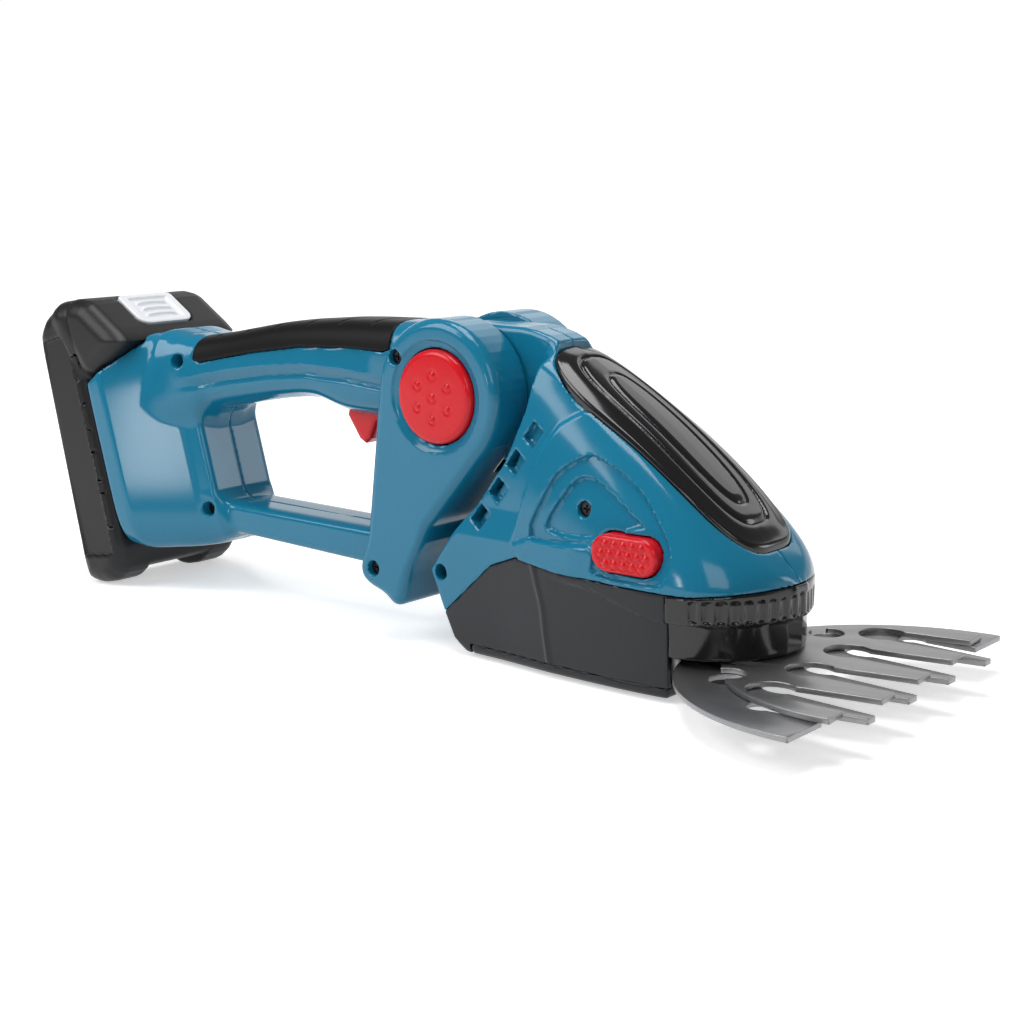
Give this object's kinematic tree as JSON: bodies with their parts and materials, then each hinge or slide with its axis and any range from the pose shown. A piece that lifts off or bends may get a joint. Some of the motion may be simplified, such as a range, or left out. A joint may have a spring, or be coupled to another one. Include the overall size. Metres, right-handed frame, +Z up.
{
  "type": "cordless grass shears",
  "caption": "Cordless grass shears: folding cutting head with comb blades, loop handle with trigger, round fold release buttons and a slide-on battery.",
  "frame": {"origin": "middle of the flat sole under the cutting head, on the middle plane", "axes": "+X forward to the blade tips, +Z up, -Y is the tool's right side"},
  "size_m": [0.4304, 0.16, 0.1326],
  "materials": {
    "teal_shell": "gloss moulded",
    "rubber_pad": "matt",
    "steel": "turned",
    "screw": "blackened",
    "dark_plastic": "matt",
    "red": "gloss moulded",
    "battery_black": "satin",
    "pale_latch": "satin",
    "gloss_black": "polished",
    "dark_base": "satin",
    "cast_frame": "die cast",
    "motor_steel": "plated",
    "rotor": "wound",
    "brass_gear": "cut",
    "gear_plastic": "moulded",
    "blade_steel": "ground"
  },
  "bodies": {
    "handle": {"handle_shell_right": "teal_shell", "handle_shell_left": "teal_shell", "grip_pad": "rubber_pad", "hinge_axle": "steel", "trigger_pin": "steel", "trigger_switch": "dark_plastic", "terminal_block": "dark_plastic", "handle_screws": "screw"},
    "trigger": {"trigger": "red"},
    "fold_button_right": {"fold_button_right": "red"},
    "fold_button_left": {"fold_button_left": "red"},
    "battery": {"battery_case": "battery_black", "battery_rail": "battery_black"},
    "battery_latch": {"battery_latch": "pale_latch"},
    "head": {"head_shell_right": "teal_shell", "head_shell_left": "teal_shell", "roof_panel": "gloss_black", "base_cover": "dark_base", "nose_cap": "gloss_black", "sole_plate": "dark_base", "gear_frame": "cast_frame", "motor_can": "motor_steel", "gear_axles": "steel", "fixed_comb": "blade_steel", "blade_pivot": "steel", "head_screws": "screw"},
    "blade_button_right": {"blade_button_right": "red"},
    "blade_button_left": {"blade_button_left": "red"},
    "rotor": {"motor_rotor": "rotor", "pinion": "brass_gear"},
    "idler": {"idler_gear": "gear_plastic"},
    "crank": {"crank_gear": "gear_plastic"},
    "moving_blade": {"moving_blade": "blade_steel"}
  },
  "joints": [
    {"name": "fold", "type": "hinge", "parent": "handle", "child": "head", "pos_m": [-0.065, 0, 0.1], "axis": [0, -1, 0], "range_deg": [0, 60]},
    {"name": "trigger_pull", "type": "hinge", "parent": "handle", "child": "trigger", "pos_m": [-0.11, 0, 0.101], "axis": [0, 1, 0], "range_deg": [0, 10], "stiffness_Nm_per_rad": 0.5, "springref_deg": -8.59},
    {"name": "fold_release_right", "type": "slide", "parent": "handle", "child": "fold_button_right", "axis": [0, 1, 0], "range_m": [0, 0.004], "stiffness_N_per_m": 900, "springref_m": -0.003},
    {"name": "fold_release_left", "type": "slide", "parent": "handle", "child": "fold_button_left", "axis": [0, -1, 0], "range_m": [0, 0.004], "stiffness_N_per_m": 900, "springref_m": -0.003},
    {"name": "battery_slide", "type": "slide", "parent": "handle", "child": "battery", "axis": [-0.2756, 0, 0.9613], "range_m": [0, 0.08]},
    {"name": "latch_press", "type": "slide", "parent": "battery", "child": "battery_latch", "axis": [-0.5418, 0, -0.8405], "range_m": [0, 0.003], "stiffness_N_per_m": 900, "springref_m": -0.003},
    {"name": "blade_release_right", "type": "slide", "parent": "head", "child": "blade_button_right", "axis": [0, 1, 0], "range_m": [0, 0.003], "stiffness_N_per_m": 900, "springref_m": -0.003},
    {"name": "blade_release_left", "type": "slide", "parent": "head", "child": "blade_button_left", "axis": [0, -1, 0], "range_m": [0, 0.003], "stiffness_N_per_m": 900, "springref_m": -0.003},
    {"name": "rotor_spin", "type": "hinge", "parent": "head", "child": "rotor", "pos_m": [-0.018, 0, 0.05], "axis": [0, 0, 1], "continuous": true},
    {"name": "idler_spin", "type": "hinge", "parent": "head", "child": "idler", "pos_m": [-0.0012, 0, 0.023], "axis": [0, 0, 1], "continuous": true},
    {"name": "crank_spin", "type": "hinge", "parent": "head", "child": "crank", "pos_m": [0.028, 0, 0.023], "axis": [0, 0, 1], "continuous": true},
    {"name": "blade_swing", "type": "hinge", "parent": "head", "child": "moving_blade", "pos_m": [0.052, 0, 0.0139], "axis": [0, 0, 1], "range_deg": [-11, 5]}
  ],
  "couplings": [
    {"joint": "idler_spin", "follows": "rotor_spin", "ratio": -0.4},
    {"joint": "crank_spin", "follows": "rotor_spin", "ratio": 0.27907}
  ]
}
